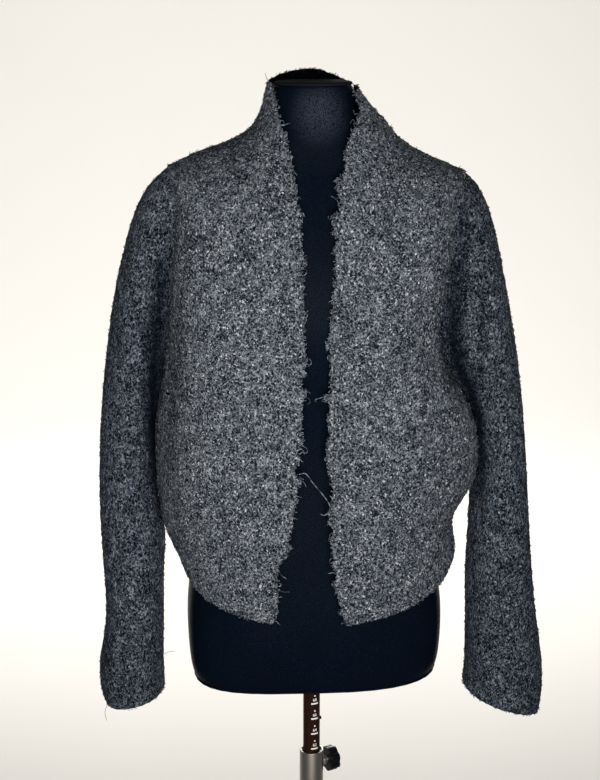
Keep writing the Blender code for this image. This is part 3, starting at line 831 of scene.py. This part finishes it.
@dataclass
class ClothPanel:
    """A cut piece of the jacket, on the form of its CAD solid."""

    node: str
    flat: tuple[float, float]
    area: float
    fibres: int
    stretch: float = 1.0
    levels: int = 3
    lump: float = 5.5 * MM
    lump_height: float = 0.9 * MM
    edge_side: float = 0.0
    edge_band: float = 17 * MM
    edge_wave: float = 9 * MM
    edge_wander: float = 1.0 * MM
    meeting: tuple[float, float] = (1.01, 1.11)
    meeting_reach: float = 2.6 * MM
    shoulder_tips: tuple[Point, ...] = ((-0.157, 0.012, 1.340), (0.169, 0.012, 1.333))
    tip_reach: float = 28 * MM
    tip_drop: float = 4.6 * MM
    sleeve_drop: float = 0.3
    item: bpy.types.Object | None = None
    extras: list = field(default_factory=list)

    def build(self) -> bpy.types.Object:
        """Copies the solid, rounds it and raises the cloth's lumps; returns the panel."""
        self.item = rounded_copy(self.node, "cloth_" + self.node, 35, 62, 0.55, self.levels)
        self._raise_lumps()
        alone(self.item)
        bpy.ops.object.shade_smooth()
        return self.item

    def line(self, wrong_side: bpy.types.Material) -> None:
        """Gives the inner faces the wool's wrong side.

        Args:
            wrong_side: the material of the inner faces.
        """
        self.item.data.materials.append(wrong_side)
        outer = self.outer()[2]
        for face in self.item.data.polygons:
            face.material_index = 0 if any(outer[i] for i in face.vertices) else 1

    def shade_folds(self, lines: dict) -> None:
        """Keeps on each vertex how much painted shade darkens the wool there, as the value "fold".

        Args:
            lines: by panel, paths of (x, z, half width, depth) down its front.
        """
        places = self.outer()[0]
        deep = np.zeros(len(places), np.float32)
        for path in lines.get(self.node, ()):
            points = np.array(path)
            down = points[::-1] if points[0, 1] > points[-1, 1] else points
            middle, half, depth = (
                np.interp(places[:, 2], down[:, 1], down[:, i], left=down[0, i], right=down[-1, i])
                for i in (0, 2, 3)
            )
            ends = np.interp(
                places[:, 2],
                [down[0, 1] - 0.03, down[0, 1], down[-1, 1], down[-1, 1] + 0.03],
                [0.0, 1.0, 1.0, 0.0],
            )
            near = np.clip(1.0 - abs(places[:, 0] - middle) / half, 0.0, 1.0)
            near = near * near * (3.0 - 2.0 * near) * depth * ends * (places[:, 1] < 0.03)
            deep = np.maximum(deep, near.astype(np.float32))
        values = self.item.data.attributes.new("fold", "FLOAT", "POINT")
        values.data.foreach_set("value", deep)

    def outer(self) -> tuple[np.ndarray, np.ndarray, np.ndarray]:
        """Places, normals and outerness of the panel's vertices.

        Returns:
            places (n, 3), normals (n, 3), and True where a vertex is on the outer side.
        """
        mesh = self.item.data
        places = np.empty(len(mesh.vertices) * 3, np.float32)
        mesh.vertices.foreach_get("co", places)
        places = places.reshape(-1, 3)
        normals = np.empty(len(mesh.vertices) * 3, np.float32)
        mesh.vertex_normals.foreach_get("vector", normals)
        normals = normals.reshape(-1, 3)
        middle = np.zeros_like(places)
        if self.node.startswith("sleeve"):
            bins = np.round(places[:, 2] / 0.012).astype(int)
            for each in np.unique(bins):
                here = bins == each
                middle[here, 0] = places[here, 0].mean()
                middle[here, 1] = places[here, 1].mean()
        out = places - middle
        out[:, 2] = 0.0
        return places, normals, (out * normals).sum(1) > 0.0

    def _raise_lumps(self) -> None:
        """Moves the outer side out by soft lumps the size of the yarn's curls."""
        places, normals, outer = self.outer()
        scale = np.array([1.0, 1.0, 1.0 / self.stretch]) / self.lump
        lift = np.zeros(len(places))
        for i in np.nonzero(outer)[0]:
            at = Vector(places[i] * scale)
            lift[i] = noise.noise(at) + 0.5 * noise.noise(at * 2.3)
        moved = places + normals * (np.clip(lift + 0.25, -0.2, 1.0) * self.lump_height)[:, None]
        if self.edge_side:
            moved[:, 0] += self._wander(places)
        if self.node == "sleeve_right":
            low, high = self.meeting
            level = np.clip(1.0 - abs(places[:, 2] - (low + high) / 2) / (high - low), 0.0, 1.0)
            inner = outer & (normals[:, 0] > 0.3)
            moved[inner, 0] += (level * self.meeting_reach)[inner]
        for tip in self.shoulder_tips:
            away = np.linalg.norm(places - np.array(tip), axis=1) / self.tip_reach
            drop = self.sleeve_drop if self.node.startswith("sleeve") else 1.0
            moved[:, 2] -= drop * self.tip_drop * np.clip(1.0 - away, 0.0, 1.0)
        self.item.data.vertices.foreach_set("co", moved.astype(np.float32).ravel())
        self.item.data.update()

    def _wander(self, places: np.ndarray) -> np.ndarray:
        """How far each point moves across because the raw front edge isn't straight.

        Args:
            places: the vertices.

        Returns:
            The shift of each along X.
        """
        edge = self.opening_edge()
        line = np.interp(places[:, 2], edge[:, 2], edge[:, 0])
        near = np.clip(1.0 - abs(places[:, 0] - line) / self.edge_band, 0.0, 1.0)
        shift = np.zeros(len(places))
        for i in np.nonzero(near > 0.0)[0]:
            at = Vector((self.edge_side * 3.1, 0.0, places[i, 2] / self.edge_wave))
            shift[i] = noise.noise(at) + 0.6 * noise.noise(at * 2.7)
        heights, steps = np.array(EDGE_STEPS[self.node]).T
        cut = np.interp(places[:, 2], heights[::-1], steps[::-1]) * MM
        return (shift * self.edge_wander + cut) * near

    def nap(self, draw: np.random.Generator) -> bpy.types.Object:
        """Scatters short curled fibres over the outer side.

        Args:
            draw: the random draws.

        Returns:
            The fibres, as one mesh.
        """
        places, normals, outer = self.outer()
        deep = np.empty(len(places), np.float32)
        self.item.data.attributes["fold"].data.foreach_get("value", deep)
        chosen = draw.choice(np.nonzero(outer & (deep < 0.3))[0], self.fibres, replace=False)
        paths = [curl(places[i], normals[i], draw, 5, 1.0 * MM, 1.1 * MM) for i in chosen]
        self.extras.append(yarns("nap_" + self.node, paths, 0.3 * MM))
        return self.extras[-1]

    def opening_edge(self) -> np.ndarray:
        """Points along the panel's free front edge, from the bottom up."""
        places = self.outer()[0]
        return rim_points(places, places[:, 2], places[:, 0] * self.edge_side)

    def declare(self) -> None:
        """Does nothing."""


def curl(
    foot: np.ndarray, out: np.ndarray, draw: np.random.Generator, count: int, step: float,
    height: float,
) -> np.ndarray:
    """A short curled fibre that leaves a surface and turns back to it.

    Args:
        foot: where it leaves the surface.
        out: the surface's normal there.
        draw: the random draws.
        count: its number of steps.
        step: length of a step.
        height: how far it may rise.

    Returns:
        Its points.
    """
    along = np.cross(out, draw.normal(size=3))
    along /= np.linalg.norm(along) + 1e-9
    across = np.cross(out, along)
    turn = draw.uniform(0.5, 1.1) * draw.choice((-1.0, 1.0))
    angles = np.cumsum(np.full(count, turn) + draw.normal(0.0, 0.25, count))
    steps = np.cos(angles)[:, None] * along + np.sin(angles)[:, None] * across
    rise = np.sin(np.linspace(0.15, 1.0, count) * math.pi) * height * draw.uniform(0.35, 1.0)
    path = np.vstack([np.zeros(3), np.cumsum(steps, 0) * step])
    lifts = np.concatenate([[-0.3 * MM], rise])
    return foot + path + lifts[:, None] * out


def frayed(
    foot: np.ndarray, out: np.ndarray, draw: np.random.Generator, length: float
) -> np.ndarray:
    """A curled yarn end that hangs out of a raw edge.

    Args:
        foot: where it leaves the edge.
        out: the way it sets off.
        draw: the random draws.
        length: its length.

    Returns:
        Its points.
    """
    count = max(4, int(length / (0.9 * MM)))
    heading = out + draw.normal(0.0, 0.7, 3)
    heading /= np.linalg.norm(heading)
    axis = draw.normal(size=3)
    axis /= np.linalg.norm(axis)
    turn = draw.uniform(0.45, 0.95) if count < 12 else draw.uniform(0.2, 0.4)
    points = [foot - heading * 1.2 * MM]
    for _ in range(count):
        points.append(points[-1] + heading * length / count)
        turned = heading * math.cos(turn) + np.cross(axis, heading) * math.sin(turn)
        heading = turned + draw.normal(0.0, 0.12, 3)
        heading /= np.linalg.norm(heading)
    return np.array(points)


@dataclass
class Jacket:
    """The jacket: five panels with their nap, frayed edges and loose threads."""

    wool: BoucleWool = BoucleWool()
    yarn: WoolYarn = WoolYarn()
    seed: int = 11
    frays: int = 620
    tuft: int = 9
    long_share: float = 0.05
    collar_frays: int = 60
    collar_turn: tuple[Point, Point] = ((0.0475, -0.020, 1.4170), (0.0495, 0.028, 1.4240))
    turn_frays: int = 44
    sleeve_stretch: float = 1.4
    body_tint: Colour = (1.08, 1.11, 1.15)
    # The sleeves' wool and yarn carry painted shade, darker and bluer than the body's, and less
    # dark at the shoulders as painted light
    sleeve_painted_shade: Colour = (0.60, 0.66, 0.75)
    sleeve_light: Colour = (0.39, 0.40, 0.42)
    shoulder_painted_light: Colour = (0.86, 0.90, 0.95)
    wrong_side_tint: Colour = (0.02, 0.023, 0.035)

    def build(self) -> None:
        """Builds and dresses every piece."""
        draw = np.random.default_rng(self.seed)
        body = self.wool.make("wool_body", 1.15, self.body_tint)
        matt = replace(self.wool, light=self.sleeve_light, specular=0.04)
        arm = matt.make("wool_sleeve", self.sleeve_stretch, self.sleeve_painted_shade, self.shoulder_painted_light)
        inside = matt.make("wool_wrong_side", 1.0, self.wrong_side_tint)
        self.yarn_dark = self.yarn.make("yarn_dark", self.wrong_side_tint)
        self.yarn_body = self.yarn.make("yarn_body", self.body_tint)
        self.yarn_arm = self.yarn.make("yarn_sleeve", self.sleeve_painted_shade)
        panels = {
            name: ClothPanel(name, (wide, tall), area, fibres, stretch, edge_side=side)
            for name, (wide, tall, area, fibres, stretch, side) in PANELS.items()
        }
        for name, panel in panels.items():
            sleeve = name.startswith("sleeve")
            dress(panel.build(), arm if sleeve else body, "figure", "wool", name)
            panel.line(inside)
            panel.shade_folds(FOLD_SHADES)
            self._extra(panel.nap(draw), sleeve)
        self._fray_front(panels["front_right"], draw)
        self._fray_front(panels["front_left"], draw)
        self._fray_collar(panels["back"], draw)
        self._loose_threads(panels)
        for panel in panels.values():
            panel.declare()

    def _extra(self, item: bpy.types.Object, sleeve: bool = False) -> None:
        """Dresses a piece made of yarns."""
        dress(item, self.yarn_arm if sleeve else self.yarn_body, "figure", "wool")

    def _fray_front(self, panel: ClothPanel, draw: np.random.Generator) -> None:
        """Hangs curled ends along the raw edge of a front."""
        edge, side = panel.opening_edge(), panel.edge_side
        paths = []
        for i in draw.integers(2, len(edge) - 2, self.frays):
            out = np.array([side, draw.uniform(-0.7, 0.15), draw.uniform(-0.5, 0.5)])
            long = draw.uniform() < self.long_share
            length = draw.uniform(10 * MM, 17 * MM) if long else draw.uniform(3 * MM, 8 * MM)
            paths.append(frayed(edge[i], out, draw, length))
        for height, reach in TUFTS[panel.node]:
            foot = edge[np.argmin(abs(edge[:, 2] - height))]
            for _ in range(self.tuft):
                out = np.array([side, draw.uniform(-0.7, 0.1), draw.uniform(-0.6, 0.6)])
                start = foot + draw.normal(0.0, 1.1 * MM, 3) * (0.6, 0.3, 1.0)
                length = reach * MM * draw.uniform(0.8, 1.7)
                paths.append(frayed(start, out, draw, length))
        panel.extras.append(yarns("fray_" + panel.node, paths, 0.36 * MM))
        self._extra(panel.extras[-1])

    def _fray_collar(self, panel: ClothPanel, draw: np.random.Generator) -> None:
        """Hangs curled ends along the top of the back collar."""
        places = panel.outer()[0]
        near = places[(abs(places[:, 0]) < 0.056) & (places[:, 2] > 1.40)]
        rim = rim_points(near, near[:, 0], near[:, 2])
        paths = []
        for i in draw.integers(0, len(rim), self.collar_frays):
            out = np.array([draw.uniform(-0.5, 0.5), draw.uniform(-0.5, 0.5), 1.0])
            paths.append(frayed(rim[i], out, draw, draw.uniform(2 * MM, 5 * MM)))
        low, high = (np.array(end) for end in self.collar_turn)
        for _ in range(self.turn_frays):
            root = low + (high - low) * draw.uniform(0.0, 1.0, 3)
            out = np.array([-1.0, draw.uniform(-0.4, 0.4), draw.uniform(0.0, 0.7)])
            paths.append(frayed(root, out, draw, draw.uniform(3 * MM, 5.5 * MM)))
        panel.extras.append(yarns("fray_collar", paths, 0.38 * MM))
        dress(panel.extras[-1], self.yarn_dark, "figure", "wool")

    def _loose_threads(self, panels: dict) -> None:
        """Adds the long threads that hang from the edges."""
        for number, (name, radius, points) in enumerate(THREADS, 1):
            item = yarns(f"thread_{number}", [rounded(points)], radius)
            panels[name].extras.append(item)
            self._extra(item, name.startswith("sleeve"))


def rounded(points: list[Point], per_span: int = 6) -> np.ndarray:
    """A smooth path through given points.

    Args:
        points: the points.
        per_span: steps from one point to the next.

    Returns:
        The path.
    """
    p = np.array(points)
    p = np.vstack([2 * p[0] - p[1], p, 2 * p[-1] - p[-2]])
    t = np.linspace(0.0, 1.0, per_span, endpoint=False)[:, None]
    spans = []
    for a, b, c, d in zip(p, p[1:], p[2:], p[3:]):
        square, cube = 2 * a - 5 * b + 4 * c - d, 3 * b - a - 3 * c + d
        spans.append(0.5 * (2 * b + (c - a) * t + square * t**2 + cube * t**3))
    return np.vstack([*spans, p[-2]])


# --------------------------------------------------------------------------- form and stand


@dataclass
class DressForm:
    """The limbless form: jersey cover, seam at its foot and neck cap."""

    jersey: Jersey = Jersey()
    seam_height: float = 6 * MM
    seam_radius: float = 1.3 * MM
    cap_round: float = 1.4 * MM
    cap_dome: float = 1.0 * MM

    def build(self) -> None:
        """Builds and dresses the form's pieces."""
        cover = self.jersey.make("jersey")
        self._torso(cover)
        self._foot_seam(cover)
        self._cap()

    def _torso(self, cover: bpy.types.Material) -> None:
        """Rounds the torso's solid."""
        item = rounded_copy("torso", "form_torso", 30, 40, 0.8, 2)
        bpy.ops.object.shade_smooth_by_angle(angle=math.radians(40))
        dress(item, cover, "figure", "form_cover", "torso")

    def _foot_seam(self, cover: bpy.types.Material) -> None:
        """Runs a rolled seam round the foot of the cover."""
        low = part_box("torso")[0].z + self.seam_height
        bm = bmesh.new()
        bm.from_mesh(frame["nodes"]["torso"].data)
        bmesh.ops.remove_doubles(bm, verts=bm.verts, dist=0.01 * MM)
        cut = bmesh.ops.bisect_plane(
            bm, geom=[*bm.verts, *bm.edges, *bm.faces], plane_co=(0, 0, low), plane_no=(0, 0, 1)
        )
        rim = [v.co.copy() for v in cut["geom_cut"] if isinstance(v, bmesh.types.BMVert)]
        bm.free()
        far = max(math.hypot(v.x, v.y) for v in rim)
        rim = [v for v in rim if math.hypot(v.x, v.y) > 0.3 * far]
        rim.sort(key=lambda v: math.atan2(v.y, v.x))
        path = rounded([tuple(v) for v in [*rim[-2:], *rim, *rim[:3]]], 3)[6:-9]
        item = yarns("form_foot_seam", [path], self.seam_radius, closed=True)
        dress(item, cover, "figure", "form_cover")

    def _cap(self) -> None:
        """Makes the neck's domed cap."""
        low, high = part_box("neck_cap")
        item = cylinder("form_neck_cap", high.x, low.z, high.z - self.cap_dome, 128)
        raise_top(item, self.cap_dome * 0.7, 0.86)
        raise_top(item, self.cap_dome * 0.3, 0.62)
        break_edges(item, self.cap_round, 4, 50)
        settle(item, 50)
        dress(item, Finish.CAP.material(), "figure", "neck_cap", "neck_cap")


@dataclass
class PoleStand:
    """Base plate, socket, tubes and clamp."""

    base_flat: float = 0.62
    socket_play: float = 0.3 * MM
    socket_sink: float = 2 * MM
    edge: float = 1.2 * MM
    tube_wall: float = 2.3 * MM
    insert_wall: float = 1.4 * MM
    knob_lobes: int = 7
    knob_depth: float = 0.11
    knob_dish: float = 1.2 * MM
    knob_boss: float = 0.8 * MM
    knob_round: float = 1.3 * MM
    pin_root: float = 1.2 * MM
    hub_radius: float = 4.6 * MM
    hub_length: float = 2.6 * MM
    hub_root: float = 0.5 * MM
    hub_round: float = 0.9 * MM

    def build(self) -> None:
        """Builds and dresses the stand's pieces."""
        self._base()
        self._tubes()
        self._pin()
        self._clamp()

    def _base(self) -> None:
        """Makes the round base plate and the socket on it."""
        low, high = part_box("base_plate")
        rim = 0.4 * (high.z - low.z)
        plate = cylinder("stand_base_plate", high.x, low.z, low.z + rim, 192)
        raise_top(plate, high.z - low.z - rim, self.base_flat)
        break_edges(plate, self.edge, 3, 12)
        dress(settle(plate), Finish.PAINT.material(), "stand", "base_paint", "base_plate")
        low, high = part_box("base_socket")
        socket = cylinder("stand_socket", high.x, low.z, high.z)
        inset_top(socket, high.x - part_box("outer_tube")[1].x - self.socket_play)
        raise_top(socket, -self.socket_sink, 1.0)
        break_edges(socket, self.edge, 4, 50)
        dress(settle(socket), Finish.PAINT.material(), "stand", "base_paint", "base_socket")

    def _walled(self, name: str, node: str, wall: float, edge: float) -> bpy.types.Object:
        """Makes an open round tube on the form of a CAD tube.

        Args:
            name: the piece's name.
            node: the CAD node.
            wall: its thickness.
            edge: width of the broken edges.

        Returns:
            The tube.
        """
        low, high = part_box(node)
        item = cylinder(name, high.x, low.z, high.z, 96, True)
        solid = item.modifiers.new("wall", "SOLIDIFY")
        solid.thickness = wall
        solid.offset = -1.0
        apply_modifiers(item)
        break_edges(item, edge, 3, 50)
        return settle(item)

    def _tubes(self) -> None:
        """Makes the outer tube, its plastic insert and the pole."""
        tube = self._walled("stand_outer_tube", "outer_tube", self.tube_wall, 0.5 * MM)
        dress(tube, Finish.STEEL.material(), "stand", "brushed_metal", "outer_tube")
        insert = self._walled("stand_insert", "tube_insert", self.insert_wall, 0.3 * MM)
        dress(insert, Finish.PLASTIC.material(), "stand", "black_plastic", "tube_insert")
        low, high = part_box("inner_pole")
        pole = cylinder("mast_pole", high.x, low.z, high.z)
        break_edges(pole, 0.8 * MM, 3, 50)
        dress(settle(pole), Finish.POLE.material(), "mast", "pole", "inner_pole")

    def _pin(self) -> None:
        """Makes the stop pin with its rounded head."""
        low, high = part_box("stop_pin")
        radius = (high.z - low.z) / 2
        item = cylinder("mast_stop_pin", radius, -self.pin_root, high.x - low.x, 24)
        break_edges(item, radius * 0.55, 4, 50)
        foot = Vector((low.x, (low.y + high.y) / 2, (low.z + high.z) / 2))
        turned_to(item, Vector((1.0, 0.0, 0.0)), foot)
        dress(item, Finish.PLASTIC.material(), "mast", "black_plastic", "stop_pin")

    def _clamp(self) -> None:
        """Makes the clamp's nut, screw, hub and lobed knob on the knob's axis."""
        joint = next(j for j in frame["joints"] if j["name"] == "knob_turn")
        axis = Vector(joint["axis"]).normalized()
        foot = Vector(joint["pos_m"])
        steel = Finish.TURNED.material()
        for node, sides, edge, angle, body in (
            ("clamp_nut", 6, 0.5 * MM, 35, "stand"), ("clamp_screw", 32, 0.4 * MM, 50, "clamp")
        ):
            start, end, radius = self._reach(node, axis, foot)
            item = cylinder(node + "_piece", radius, start, end, sides)
            break_edges(item, edge, 2, angle)
            turned_to(item, axis, foot)
            dress(item, steel, body, "brushed_metal", node)
        start, end, radius = self._reach("clamp_knob", axis, foot)
        hub = cylinder(
            "clamp_hub", self.hub_radius, start - self.hub_length, start + self.hub_root, 48
        )
        break_edges(hub, self.hub_round, 4, 50)
        turned_to(hub, axis, foot)
        dress(hub, steel, "clamp", "brushed_metal")
        knob = self._knob(start, end, radius)
        turned_to(knob, axis, foot)
        dress(knob, Finish.PLASTIC.material(), "clamp", "black_plastic", "clamp_knob")

    @staticmethod
    def _reach(node: str, axis: Vector, foot: Vector) -> tuple[float, float, float]:
        """How far a CAD node reaches along an axis, and out from it.

        Args:
            node: the CAD node.
            axis: the axis.
            foot: a point on it.

        Returns:
            Its start and end along the axis, and its radius.
        """
        from_foot = [v.co - foot for v in frame["nodes"][node].data.vertices]
        along = [v.dot(axis) for v in from_foot]
        return min(along), max(along), max((v - axis * v.dot(axis)).length for v in from_foot)

    def _knob(self, start: float, end: float, radius: float) -> bpy.types.Object:
        """Makes the knob along +Z: lobes round a hub, dished at its outer face.

        Args:
            start: where its inner face is.
            end: where its outer face is.
            radius: out to the tips of the lobes.

        Returns:
            The knob.
        """
        item = cylinder("clamp_knob_piece", radius, start, end, self.knob_lobes * 16)
        for vertex in item.data.vertices:
            turn = math.atan2(vertex.co.y, vertex.co.x)
            dip = self.knob_depth * (0.5 - 0.5 * math.cos(self.knob_lobes * turn)) ** 1.4
            vertex.co.x *= 1.0 - dip
            vertex.co.y *= 1.0 - dip
        item.data.update()
        inset_top(item, radius * 0.3)
        raise_top(item, -self.knob_dish, 0.96)
        inset_top(item, radius * 0.28)
        raise_top(item, self.knob_boss, 0.9)
        break_edges(item, self.knob_round, 4, 45)
        return item


@dataclass
class HeightScale:
    """The printed scale on the pole: a dash and a number every 20 mm, a dot between."""

    first: float = 0.446
    last: float = 0.726
    pitch: float = 0.020
    first_number: int = 44
    dash: tuple[float, float] = (9.2 * MM, 2.0 * MM)
    dot: float = 1.05 * MM
    figure: float = 5.2 * MM
    weight: float = 0.09 * MM
    figure_rise: float = 4.8 * MM
    dot_rise: float = 0.3 * MM
    proud: float = 0.06 * MM
    middle: float = math.radians(20)

    def build(self) -> None:
        """Builds and dresses the scale."""
        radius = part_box("inner_pole")[1].x
        rows = int(round((self.last - self.first) / self.pitch)) + 1
        parts = []
        for row in range(rows):
            height = self.first + row * self.pitch
            parts.append(self._dash(height))
            number = str(self.first_number + 2 * row)
            parts.append(self._figure(number, height + self.figure_rise))
            parts.append(self._dot(height + self.pitch / 2 + self.dot_rise))
        select_none()
        for part in parts:
            part.select_set(True)
        bpy.context.view_layer.objects.active = parts[0]
        bpy.ops.object.join()
        item = bpy.context.active_object
        item.name = "mast_scale"
        self._wrap(item, radius + self.proud)
        alone(item)
        bpy.ops.object.shade_smooth()
        dress(item, Finish.PRINT.material(), "mast", "pole")

    def _dash(self, height: float) -> bpy.types.Object:
        """A dash, flat, with its length along X and its height along Y."""
        select_none()
        bpy.ops.mesh.primitive_grid_add(x_subdivisions=12, y_subdivisions=1, size=1.0)
        item = bpy.context.active_object
        item.scale = (self.dash[0], self.dash[1], 1.0)
        item.location = (0.0, height, 0.0)
        bpy.ops.object.transform_apply(location=True, rotation=True, scale=True)
        return item

    def _dot(self, height: float) -> bpy.types.Object:
        """A dot, flat."""
        select_none()
        bpy.ops.mesh.primitive_circle_add(
            vertices=16, radius=self.dot, fill_type="TRIFAN", location=(0.0, height, 0.0)
        )
        bpy.ops.object.transform_apply(location=True, rotation=True, scale=True)
        return bpy.context.active_object

    def _figure(self, text: str, height: float) -> bpy.types.Object:
        """A number, flat, with enough faces to bend round the pole."""
        select_none()
        bpy.ops.object.text_add(location=(0.0, 0.0, 0.0))
        words = bpy.context.active_object.data
        words.body = text
        words.size = self.figure
        words.offset = self.weight
        words.align_x = words.align_y = "CENTER"
        words.resolution_u = 3
        bpy.ops.object.convert(target="MESH")
        item = bpy.context.active_object
        item.location = (0.0, height, 0.0)
        bpy.ops.object.transform_apply(location=True, rotation=True, scale=True)
        bpy.ops.object.mode_set(mode="EDIT")
        bpy.ops.mesh.select_all(action="SELECT")
        bpy.ops.mesh.quads_convert_to_tris()
        bpy.ops.mesh.subdivide(number_cuts=1)
        bpy.ops.object.mode_set(mode="OBJECT")
        return item

    def _wrap(self, item: bpy.types.Object, radius: float) -> None:
        """Bends a flat mesh round the pole."""
        for vertex in item.data.vertices:
            turn = vertex.co.x / radius + self.middle
            vertex.co = (math.sin(turn) * radius, -math.cos(turn) * radius, vertex.co.y)
        item.data.update()


# --------------------------------------------------------------------------- studio


@dataclass(frozen=True)
class Lamp:
    """A square soft light: its side in metres, power in watts and spread in degrees."""

    name: str
    size: float
    power: float
    at: Point
    aim: Point
    spread: float = 180.0

    def hang(self, tint: Colour) -> None:
        """Adds the light, of that colour."""
        data = bpy.data.lights.new(self.name, "AREA")
        data.size, data.energy, data.color = self.size, self.power, tint
        data.spread = math.radians(self.spread)
        light = linked(self.name, data)
        light.location = self.at
        aim = Vector(self.aim) - Vector(self.at)
        light.rotation_euler = aim.to_track_quat("-Z", "Y").to_euler()
        light.visible_camera = False


@dataclass
class Studio:
    """Pale sweep, soft lights and the camera."""

    distance: float = 1.75
    turn: float = math.radians(-3.5)
    height: float = 1.53
    pitch: float = math.radians(14.5)
    pan: float = 13.0 / 1560.0
    lens: float = 48.0
    sensor: float = 24.0
    sweep: float = 7.0
    bend: float = 3.2
    wall: float = 6.0
    floor: Colour = (0.78, 0.755, 0.71)
    white: Colour = (1.0, 0.985, 0.96)
    sky: Colour = (0.88, 0.94, 1.0)
    sky_strength: float = 0.09
    lamps: tuple[Lamp, ...] = (
        Lamp("key", 0.7, 6.4, (-0.03, -1.55, 1.24), (0.0, 0.0, 1.10), 78.0),
        Lamp("wall", 3.0, 240.0, (0.0, 2.3, 3.4), (0.0, 6.2, 1.0)),
        Lamp("floor", 2.4, 33.0, (0.0, 1.6, 2.3), (0.0, 3.2, 0.0)),
        Lamp("back", 1.0, 5.0, (0.5, 2.0, 1.1), (0.0, 0.0, 1.1), 50.0),
    )

    def build(self) -> None:
        """Builds the studio."""
        self._sweep()
        self._camera()
        self._lights()

    def _sweep(self) -> None:
        """Makes the floor that turns up into a wall all round."""
        item = cylinder("sweep", self.sweep, 0.0, self.wall, 96)
        edit_top(item)
        bpy.ops.mesh.delete(type="FACE")
        bpy.ops.object.mode_set(mode="OBJECT")
        edit_top(item, upwards=False)
        bpy.ops.mesh.bevel(offset=self.bend, segments=20, affect="EDGES")
        bpy.ops.mesh.select_all(action="SELECT")
        bpy.ops.mesh.flip_normals()
        bpy.ops.object.mode_set(mode="OBJECT")
        bpy.ops.object.shade_smooth()
        s = Shader("studio_paper")
        at = s.place()
        tint = s.mix(s.noise(at, 0.6, 2.0), self.floor, tuple(0.97 * c for c in self.floor))
        item.data.materials.append(
            s.finish(Base_Color=tint, Roughness=0.9, Normal=s.bump(s.noise(at, 3 * MM), 0.1 * MM))
        )
        item.visible_diffuse = False

    def _camera(self) -> None:
        """Places the camera as the photograph was taken."""
        data = bpy.data.cameras.new("camera")
        data.lens = self.lens
        data.sensor_width = self.sensor
        camera = linked("camera", data)
        camera.location = (
            self.distance * math.sin(self.turn),
            -self.distance * math.cos(self.turn),
            self.height,
        )
        left = math.atan(self.pan * math.cos(self.pitch))
        camera.rotation_euler = (math.pi / 2 - self.pitch, 0.0, self.turn + left)
        bpy.context.scene.camera = camera

    def _lights(self) -> None:
        """Sets the world and the lights."""
        scene = bpy.context.scene
        world = bpy.data.worlds.new("studio")
        world.use_nodes = True
        background = world.node_tree.nodes["Background"]
        background.inputs["Color"].default_value = (*self.sky, 1.0)
        background.inputs["Strength"].default_value = self.sky_strength
        scene.world = world
        scene.view_settings.view_transform = "Standard"
        for lamp in self.lamps:
            lamp.hang(self.white)


# --------------------------------------------------------------------------- main


def main() -> None:
    """Builds the stand, the form, the jacket and the studio, in that order."""
    logging.basicConfig(level=logging.INFO, format="%(name)s %(message)s")
    PoleStand().build()
    HeightScale().build()
    DressForm().build()
    Jacket().build()
    Studio().build()


if __name__ == "__main__":
    main()
